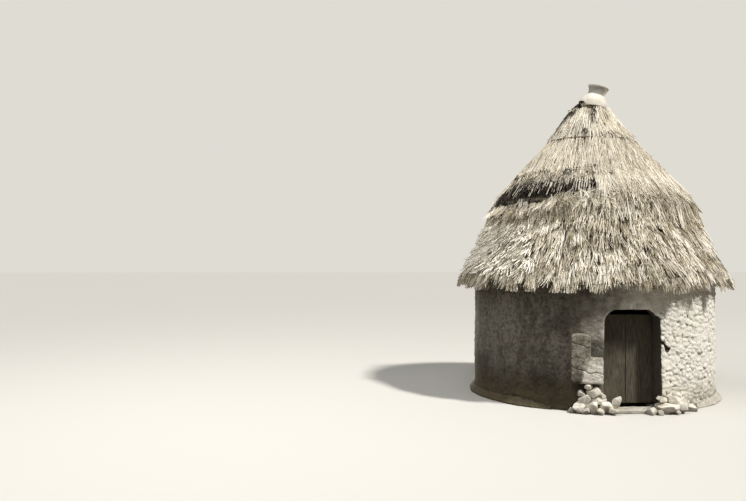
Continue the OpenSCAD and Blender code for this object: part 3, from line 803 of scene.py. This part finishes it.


# Kinds of tufts: first seed, how many are made, stalks in one, its width, the stalks' lengths and
# thicknesses, how far they turn aside, their lift, how far back their roots lie, how far their
# tips spread, and their tones. Sizes are in metres and turns in radians
# Tones below nought give dark stalks; the kinds laid under the crown's hem, along its foot and
# below the pot use them as painted shade
KINDS = {
    "eaves": (100, 16, 15, 0.1, (0.13, 0.28), (0.008, 0.015), 0.15, (-0.02, 0.08), 0.08, 0.8,
              (-0.3, 1.1)),
    "fringe": (120, 12, 10, 0.09, (0.12, 0.23), (0.009, 0.016), 0.14, (-0.06, 0.06), 0.04, 0.6,
               (0, 1)),
    "lower": (140, 16, 15, 0.1, (0.13, 0.3), (0.008, 0.015), 0.15, (-0.02, 0.08), 0.08, 0.8,
              (-0.3, 1.1)),
    "tangled": (160, 16, 14, 0.1, (0.1, 0.28), (0.008, 0.013), 0.4, (-0.05, 0.2), 0.08, 0.5,
                (-0.25, 1.1)),
    "shaggy": (180, 14, 14, 0.1, (0.13, 0.3), (0.008, 0.014), 0.17, (-0.04, 0.08), 0.08, 0.8,
               (-0.3, 1.1)),
    "combed": (200, 14, 16, 0.085, (0.25, 0.48), (0.006, 0.010), 0.06, (0, 0.03), 0.1, 0, (0, 1)),
    "ruffled": (220, 12, 9, 0.1, (0.1, 0.26), (0.008, 0.015), 0.35, (-0.05, 0.15), 0.06, 0.5,
                (0, 1)),
    "wisps": (240, 10, 3, 0.14, (0.08, 0.18), (0.007, 0.012), 0.7, (-0.2, 0.15), 0.05, 0,
              (-0.5, 0.7)),
    "cap": (260, 12, 11, 0.07, (0.16, 0.3), (0.007, 0.012), 0.05, (0, 0.03), 0.05, 0, (0, 1)),
    "loose": (280, 8, 9, 0.08, (0.12, 0.26), (0.006, 0.011), 0.12, (0, 0.06), 0.02, 0, (0, 1)),
    "hem_shade": (300, 10, 12, 0.1, (0.08, 0.2), (0.008, 0.014), 0.5, (-0.1, 0.2), 0.06, 0,
               (-1, -0.3)),
    "bleached_lit": (320, 10, 13, 0.09, (0.11, 0.22), (0.012, 0.020), 0.3, (0.05, 0.4), 0.06, 0.5,
                 (0.45, 1.5)),
    "pot_shade": (340, 6, 7, 0.05, (0.08, 0.16), (0.008, 0.013), 0.2, (0, 0.12), 0.02, 0,
                (-0.8, -0.2)),
    "frayed": (360, 8, 8, 0.1, (0.04, 0.1), (0.007, 0.013), 0.45, (-0.1, 0.2), 0.05, 0,
               (-0.9, 0.35)),
}
TUFTS = {kind: [tuft(seed + i, *settings) for i in range(many)]
         for kind, (seed, many, *settings) in KINDS.items()}


def slope_frame(angle, radius, z, dip):
    """Frame on the roof: X across, Y down the slope that dips by that angle, Z outwards."""
    c, s = math.cos(angle), math.sin(angle)
    across = Vector((s, -c, 0))
    down = Vector((c * math.cos(dip), s * math.cos(dip), -math.sin(dip)))
    out = Vector((c * math.sin(dip), s * math.sin(dip), math.cos(dip)))
    turn = Matrix((across, down, out)).transposed().to_4x4()
    return Matrix.Translation((radius * c, radius * s, z)) @ turn


def lay(bm, kind, draw, angle, radius, z, dip, yaw, pitch, size):
    """Adds one tuft of a kind on the roof, picked and turned at random."""
    mesh = draw.choice(TUFTS[kind]).copy()
    turn = Euler((pitch, 0, draw.gauss(0, yaw))).to_matrix().to_4x4()
    mesh.transform(slope_frame(angle, radius, z, dip) @ turn @ Matrix.Scale(size, 4))
    bm.from_mesh(mesh)
    bpy.data.meshes.remove(mesh)


def clump(angle, z):
    """Depth, from -1 to 1, of the furrows that part the thatch into bunches down the slope."""
    at = around(angle, 9, z * 1.8)
    return noise.noise(at) + 0.6 * noise.noise(at * 2.3)


def broken_short(angle):
    """1 where the eaves' straws have broken off short, over the doorway and right of it."""
    off = off_door(angle)
    sag = math.exp(-((off - 0.43) / 0.12) ** 2)
    return ramp(off, -0.34, -0.12) * ramp(off, 0.98, 0.84) * (1 - 0.5 * sag)


def core(name, outer, inner, low, high, sunk, wavy, rise):
    """Packed core of a course: the ring between two skins, with a wavy hanging edge that lies
    higher by rise where the eaves' straws are short."""
    bm = bmesh.new()
    rows = 14
    heights = [low + (high - low) * i / rows for i in range(rows + 1)]
    outline = [Vector((inner(h) + 4 * MM, 0, h)) for h in heights]
    outline += [Vector((max(outer(0.1, h) - sunk, inner(h) + 12 * MM), 0, h))
                for h in reversed(heights)]
    verts = [bm.verts.new(p) for p in outline]
    edges = [bm.edges.new((a, b)) for a, b in zip(verts, verts[1:] + verts[:1])]
    bmesh.ops.spin(bm, geom=verts + edges, axis=(0, 0, 1), cent=(0, 0, 0), steps=180,
                   angle=math.tau, use_merge=True)
    sewn(bm, 0.1 * MM)
    bm.normal_update()
    for v in bm.verts:
        angle = angle_of(v.co)
        z = v.co.z
        outward = Vector((v.co.x, v.co.y, 0)).normalized()
        if v.normal.dot(outward) > 0:
            hem = 45 * MM * ramp(z, low + 0.14, low) + 40 * MM * ramp(z, high - 0.1, high)
            reach = max(outer(angle, z) - sunk - hem, inner(z) + 12 * MM)
            v.co += outward * (reach - v.co.xy.length + 9 * MM * clump(angle, z))
        v.co.z += (wavy * noise.noise(around(angle, 5)) * ramp(z, low + 0.12, low)
                   + rise * broken_short(angle) * ramp(z, low + 0.2, low))
    piece(name, bm, packed_grass_and_shade)


def thatch(name, laid, seed, material, sunk=60 * MM, wavy=26 * MM, short=0.0, rise=0.0):
    """A course: its core, and the stalks that laid(bm, draw, outer, low, high) puts on it."""
    outer, inner = radii(name)
    low, high = (corner.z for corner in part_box(name))
    edge = 3 * MM
    core(name + "_core", outer, inner, low + edge + short, high - edge, sunk, wavy, rise)
    bm = bmesh.new()
    laid(bm, random.Random(seed), outer, low + edge, high - edge)
    piece(name + "_stalks", bm, material, stands_for=(name,), smooth=False)


roof_r = cad_box[1][0]
ROOF_DIP = math.radians(56)
# Bunches that have slipped down at the eaves, as angles from the doorway's middle
SLIPPED = (-1.72, -1.18, -0.87, -0.42, -0.28, 0.31, 0.75, 1.9, 2.6, 3.1)
# A bunch that sticks out on the roof's right side
TUFT_OUT = DOOR_SIDE + 1.26
# Dark tufts of the cap that paint the pot's shadow and a crease's shade: angle from the doorway's
# middle, and distance below its top
POT_SHADE_TUFTS = [(-0.95 - 0.12 * i, 0.02 + 0.006 * i) for i in range(4)]
POT_SHADE_TUFTS += [(-1.35 - 0.09 * i, 0.05 + 0.045 * i) for i in range(5)]
POT_SHADE_TUFTS += [(-0.2, 0.02), (-0.2, 0.09), (-0.19, 0.15), (-0.46, 0.25), (-0.47, 0.31)]


def hold_in(bm, limit, lowest):
    """Bends the tips that stand out past the limit or hang below the lowest level."""
    for v in bm.verts:
        radius = v.co.xy.length
        if radius > limit:
            held = limit - 4 * MM * (1 + math.sin(v.co.x * 900 + v.co.y * 700))
            v.co.xy *= held / radius
        if v.co.z < lowest:
            v.co.z = lowest - (lowest - v.co.z) * 0.3


def break_off(bm, low):
    """Shortens the stalks that reach below the eaves' ragged edge. Each one has three corners at
    its root, then three at its tip."""
    bm.verts.ensure_lookup_table()
    for first in range(0, len(bm.verts), 6):
        root, tip = bm.verts[first].co.copy(), bm.verts[first + 3].co.copy()
        angle = angle_of(tip)
        ragged = noise.noise(around(angle, 34))
        edge = low - 0.05 + (100 + 36 * ragged) * MM * broken_short(angle)
        if tip.z < edge and root.z > tip.z:
            keep = max(0.25, (root.z - edge) / (root.z - tip.z))
            for i in range(first, first + 3):
                end = bm.verts[i + 3]
                end.co = bm.verts[i].co.lerp(end.co, keep)


def shagginess(angle):
    """1 where the thatch is rough, left of and over the door, and lower on its right side."""
    off = off_door(angle)
    return 1 - 0.6 * ramp(off, 0.1, 0.6) * ramp(off, 2.4, 1.6)


def bleached_lit(angle, z):
    """Whether a place is in the patch low on the left that the sun and wind have bleached, painted
    paler still as a pool of light.
    """
    off = off_door(angle) + 1.28 + 0.14 * noise.noise(Vector((z * 9, angle * 3, 0)))
    return abs(off) < 0.5 and 1.5 < z < 2.3


upper_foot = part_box("thatch_upper")[0].z
crown_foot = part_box("thatch_crown")[0].z


def hollowed(outer, angle, z):
    """Whether a place is in the rotted hollow, which lies deeper than any furrow."""
    return z > upper_foot and outer(0.0, z) - outer(angle, z) > 62 * MM


def hem_shaded(angle, z):
    """Whether the straws at a place are painted dark as the shade under the crown's hem, left of
    the door.
    """
    off = off_door(angle)
    ragged = noise.noise(Vector((off * 9, z * 4, 5)))
    foot = crown_foot - 0.13 - 0.20 * ramp(off, -0.45, -0.9) + 0.10 * ragged
    return -1.8 < off < -0.16 + 0.2 * ragged and foot < z < crown_foot + 0.03


def lay_course(bm, kind, draw, outer, rows, spacing, sunk, yaw, pitch, furrow, gaps=0.06,
               dip=ROOF_DIP):
    """Rows of tufts down a course, bunched by the furrows. Rows holds the highest one's height, the
    lowest one's, and the step between two down the slope."""
    high, low, step = rows
    steps = max(1, round((high - low) / (step * math.sin(ROOF_DIP))))
    for row in range(steps + 1):
        z = high - (high - low) * row / steps
        count = round(math.tau * (outer(0, z) - sunk) / spacing)
        start = draw.random()
        for i in range(count):
            if draw.random() < gaps:
                continue
            angle = (i + start + draw.uniform(-0.35, 0.35)) / count * math.tau
            rough = shagginess(angle)
            z_here = z + draw.uniform(-0.03, 0.03)
            depth = furrow * rough * clump(angle, z) + draw.uniform(-6, 6) * MM * rough
            radius = outer(angle, z_here)
            chosen = kind
            # Dark straws paint the shade under the crown's hem
            if hem_shaded(angle, z_here):
                chosen = "hem_shade"
                depth = draw.uniform(-0.03, 0.0)
            # Frayed tufts, many of them dark to paint the hem's shade, fringe the crown's foot
            # there
            elif crown_foot < z_here < crown_foot + 0.13 and hem_shaded(angle, crown_foot - 0.02):
                chosen = "frayed"
            elif hollowed(outer, angle, z_here):
                # Bunches have slid over the hollow's shallow end
                depth += (outer(0, z_here) - radius) * draw.uniform(0.3, 0.9)
            # Bleached straws, their extra paleness a painted pool of light
            elif bleached_lit(angle, z_here):
                chosen = "bleached_lit"
            lay(bm, chosen, draw, angle, radius - sunk + depth, z_here, dip,
                yaw * rough, draw.uniform(*pitch) * rough, draw.uniform(0.85, 1.15))


def hang_edge(bm, kind, draw, outer, low, depth, yaw, dips, span, up):
    """Tufts that hang from a course's edge over the course below, within a span of angles."""
    count = round(math.tau * outer(0, low + 0.05) / 0.095)
    for i in range(count):
        angle = (i + draw.uniform(-0.4, 0.4)) / count * math.tau
        z = low + up + draw.uniform(-0.03, 0.03)
        dip = math.radians(draw.uniform(*dips))
        size = draw.uniform(0.8, 1.1)
        if span[0] < off_door(angle) + 0.12 * noise.noise(Vector((angle * 9, up, 2))) < span[1]:
            lay(bm, kind, draw, angle, outer(angle, z) - depth * MM, z, dip, yaw, 0.0, size)


def eaves_stalks(bm, draw, outer, low, high):
    """The lowest course, whose straws end ragged below the wall's top."""
    lay_course(bm, "eaves", draw, outer, (low + 0.60, low + 0.24, 0.08), 0.094, 50 * MM, 0.13,
               (0.03, 0.14), 20 * MM)
    # The butt's straws end raggedly below the wall's top, through the whole thickness
    for ring, depth in enumerate((16, 44, 74, 104, 134)):
        count = round(math.tau * (roof_r - depth * MM) / 0.088)
        for i in range(count):
            angle = (i + 0.25 * ring + draw.uniform(-0.3, 0.3)) / count * math.tau
            at = around(angle)
            drop = 0.15 * noise.noise(at * 11) + 0.07 * noise.noise(at * 4)
            z = low + 0.17 + drop + draw.uniform(-0.02, 0.02)
            radius = outer(angle, z) - depth * MM
            lay(bm, "fringe", draw, angle, radius, z, math.radians(draw.uniform(55, 66)), 0.12,
                0.0, draw.uniform(0.8, 1.1))
    break_off(bm, low)
    # A few bunches have slipped and dangle
    for off in SLIPPED:
        for _ in range(3):
            angle = DOOR_SIDE + off + draw.uniform(-0.02, 0.02)
            lay(bm, "fringe", draw, angle, outer(angle, low + 0.1) - 0.03, low + 0.1,
                math.radians(draw.uniform(62, 78)), 0.15, 0.0, 1.0)
    hold_in(bm, roof_r - 1 * MM, low - 0.05)


def lower_stalks(bm, draw, outer, low, high):
    """The second course, all in shaggy bunches."""
    lay_course(bm, "lower", draw, outer, (high - 0.02, low + 0.06, 0.08), 0.094, 64 * MM, 0.14,
               (0.0, 0.1), 20 * MM)


def upper_stalks(bm, draw, outer, low, high):
    """The third course, tangled above and shaggy at its hem, with the hollow left of the door."""
    lay_course(bm, "tangled", draw, outer, (high - 0.1, low + 0.22, 0.075), 0.092, 48 * MM, 0.25,
               (0.02, 0.12), 20 * MM)
    lay_course(bm, "shaggy", draw, outer, (low + 0.20, low + 0.05, 0.06), 0.094, 62 * MM, 0.2,
               (-0.12, 0.02), 20 * MM, dip=math.radians(70))
    # Bunches stand up loose along the hollow's foot
    for i in range(34):
        angle = DOOR_SIDE - 0.1 - i * 0.043 + draw.uniform(-0.02, 0.02)
        z = low + 0.14 - 0.1 * ramp(i, 9, 20) + draw.uniform(-0.03, 0.03)
        lay(bm, "shaggy", draw, angle, outer(angle, z) - 0.03, z, ROOF_DIP, 0.35,
            draw.uniform(0.05, 0.3), 0.7)
    # One bunch sticks out on the right
    for _ in range(3):
        lay(bm, "shaggy", draw, TUFT_OUT, outer(TUFT_OUT, low + 0.16) - 0.03, low + 0.16, ROOF_DIP,
            0.2, 0.22, 0.8)


def crown_stalks(bm, draw, outer, low, high):
    """The fourth course, combed smooth, with a ragged hem."""
    lay_course(bm, "combed", draw, outer, (high - 0.04, low + 0.2, 0.09), 0.08, 26 * MM, 0.05,
               (0.0, 0.03), 6 * MM, 0.02)
    lay_course(bm, "ruffled", draw, outer, (low + 0.17, low + 0.05, 0.06), 0.09, 36 * MM, 0.3,
               (-0.05, 0.06), 12 * MM)
    # The hem hangs ragged over the hollow, where the frayed tufts' dark stalks paint its shade, and
    # lies flat and pale right of the door
    for up, depth in ((0.15, 18), (0.10, 20), (0.05, 30)):
        for span in ((-4, -1.5), (-0.25, 4)):
            hang_edge(bm, "combed", draw, outer, low, depth, 0.12, (46, 54), span, up)
        hang_edge(bm, "frayed", draw, outer, low, depth - 4, 0.3, (48, 62), (-1.6, 0.1), up)
    hang_edge(bm, "wisps", draw, outer, low, 30, 0.5, (50, 80), (-1.5, 0.2), 0.1)


def cap_stalks(bm, draw, outer, low, high):
    """The top course, gathered round the knot, with painted shade below the pot."""
    lay_course(bm, "cap", draw, outer, (high - 0.02, low + 0.15, 0.07), 0.068, 22 * MM, 0.05,
               (0.0, 0.02), 5 * MM, 0.02)
    # Right of the door's middle the cap's straws fall over the cord and hide it
    for up in (0.11, 0.15, 0.19):
        for span in ((-0.05, 4), (-4, -1.9)):
            hang_edge(bm, "loose", draw, outer, low, 14, 0.1, (36, 46), span, up)
    # Dark straws paint the shadow below the pot's broken side and in its gap, and the shade of a
    # crease that runs down
    for i in range(16):
        out = 0.14 + 0.012 * (i % 4)
        lay(bm, "pot_shade", draw, DOOR_SIDE - 1.4 - 0.05 * i, out, high + 0.04 + 0.025 * (i % 3),
            math.radians(20 + 14 * (i % 3)), 0.2, 0.0, 0.95)
    for off, down in POT_SHADE_TUFTS:
        angle = DOOR_SIDE + off
        z = high - down
        lay(bm, "pot_shade", draw, angle, outer(angle, z) + 0.002, z, ROOF_DIP, 0.08, 0.02, 0.8)


thatch("thatch_eaves", eaves_stalks, 11, weathered_grass, rise=60 * MM)
thatch("thatch_lower", lower_stalks, 12, weathered_grass, short=105 * MM)
thatch("thatch_upper", upper_stalks, 13, weathered_grass, short=105 * MM)
thatch("thatch_crown", crown_stalks, 14, combed_grass, sunk=46 * MM, short=105 * MM)
thatch("thatch_cap", cap_stalks, 15, combed_grass, sunk=24 * MM, wavy=6 * MM, short=20 * MM)
cord = rings("cord_ring", "binding_cord", twisted_grass, "grass_cord", strands=3, lays=3 * 60,
             steps=480, sides=10, relief_depth=0.35)
# Left of the door the cord lies open, elsewhere it has sunk under the straws
for v in cord.data.vertices:
    off = off_door(angle_of(v.co))
    covered = max(ramp(off, -0.5, 0.0), ramp(off, -1.7, -2.1))
    v.co.xy *= 1 - (10 + 38 * covered) * MM / v.co.xy.length
lashed_knot()
worn_pot()

rough_mud_wall()
worn_copy("worn_kerb", ["mud_kerb"], 22 * MM, 16 * MM, 0.11, sun_dried_mud, taper_kerb)
block = worn_copy("stepped_block", ["mud_block"], 7 * MM, 6 * MM, 0.05, pale_mud,
                  crack_block)
# A painted pool of sunlight lightens its lower right, and painted shade darkens its upper parts
painted_sunlight = block.data.attributes.new("painted_sunlight", "FLOAT", "POINT")
painted_shade = block.data.attributes.new("painted_shade", "FLOAT", "POINT")
for v, new, block_shade in zip(block.data.vertices, painted_sunlight.data, painted_shade.data):
    swayed = v.co.x + 0.05 * noise.noise(v.co * 15)
    new.value = ramp(swayed - 0.3 * v.co.z, -0.78, -0.66) * ramp(v.co.z, 0.66, 0.6)
    block_shade.value = 0.36 * (1 - new.value)
worn_copy("threshold_slab", ["threshold"], 8 * MM, 5 * MM, 0.07, field_stone)
stone_heap("left_stones", "left_doorstone", -1, LEFT_STONES, 21)
stone_heap("right_stones", "right_doorstone", 1, RIGHT_STONES, 22)

for plank in ("door_plank_1", "door_plank_2"):
    hewn_plank(plank)
hewn_beam("door_head_beam")
for name in frame["nodes"]:
    if name.startswith("rafter_") and name != "rafter_knot":
        natural_pole(name)
rings("wall_plate_pole", "wall_plate", peeled_poles, "roof_poles", strands=0, lays=0, steps=200,
      sides=14, relief_depth=0)
rings("bound_hoops", "hoops", peeled_poles, "roof_poles", strands=3, lays=3 * 5, steps=160,
      sides=12, relief_depth=0.3)

# The CAD nodes that stay get the finish of their slot
FINISHES = {"mud_wall": sun_dried_mud, "field_stone": field_stone, "door_wood": smoked_planks,
            "roof_poles": peeled_poles, "thatch": packed_grass_and_shade, "grass_cord": twisted_grass,
            "pot_clay": chalky_clay}
for part in frame["record"]["subparts"]:
    node = frame["nodes"][part["node"]]
    node.data.materials.clear()
    node.data.materials.append(FINISHES[part["material_slot"]])


# Stage: a plain pale floor, a key light from high on the right, a large soft light over the roof
# and a pale sky that fills in


def seen_rays(tree):
    """1 for the rays that the eye, a sheen or a clear thing sends out, 0 for the light's own."""
    rays = add(tree, "LightPath")
    total = rays["Is Camera Ray"]
    for kind in ("Is Glossy Ray", "Is Transmission Ray"):
        total = add(tree, "Math", {0: total, 1: rays[kind]}, operation="MAXIMUM")[0]
    return total


def floor_surface(tree, place):
    """Plain paint, pale to the eye, that sends less light back up on the hut."""
    return painted(tree, srgb("#746F66"), [(seen_rays(tree), 0, 1, 0, 1, "#D6D3CC")]), None


floor_bm = bmesh.new()
bmesh.ops.create_grid(floor_bm, x_segments=1, y_segments=1, size=60)
bmesh.ops.translate(floor_bm, verts=floor_bm.verts, vec=(0, 0, -1 * MM))
floor = stood("floor", mesh_of("floor", floor_bm))
floor.data.materials.append(finish("floor_paint", floor_surface, 0.95))

sun = bpy.data.lights.new("sun", "SUN")
sun.energy = 3.7
sun.angle = math.radians(5)
sun.color = (1.0, 0.985, 0.96)
stood("sun", sun, way=(-0.494, 0.430, -0.755))

overhead = bpy.data.lights.new("overhead", "AREA")
overhead.energy = 500
overhead.size = 9
stood("overhead", overhead, (-5.0, -3.0, 8.8), (5.0, 3.0, -6.8))

world = bpy.data.worlds.new("sky")
bpy.context.scene.world = world
world.use_nodes = True
sky = world.node_tree
seen = seen_rays(sky)
background = sky.nodes["Background"].inputs
sky.links.new(painted(sky, srgb("#DCDDDC"), [(seen, 0, 1, 0, 1, "#DFDCD4")]), background["Color"])
sky.links.new(add(sky, "MapRange", {0: seen, 3: 0.16, 4: 1.0})[0],
              background["Strength"])

bpy.context.scene.view_settings.view_transform = "Standard"
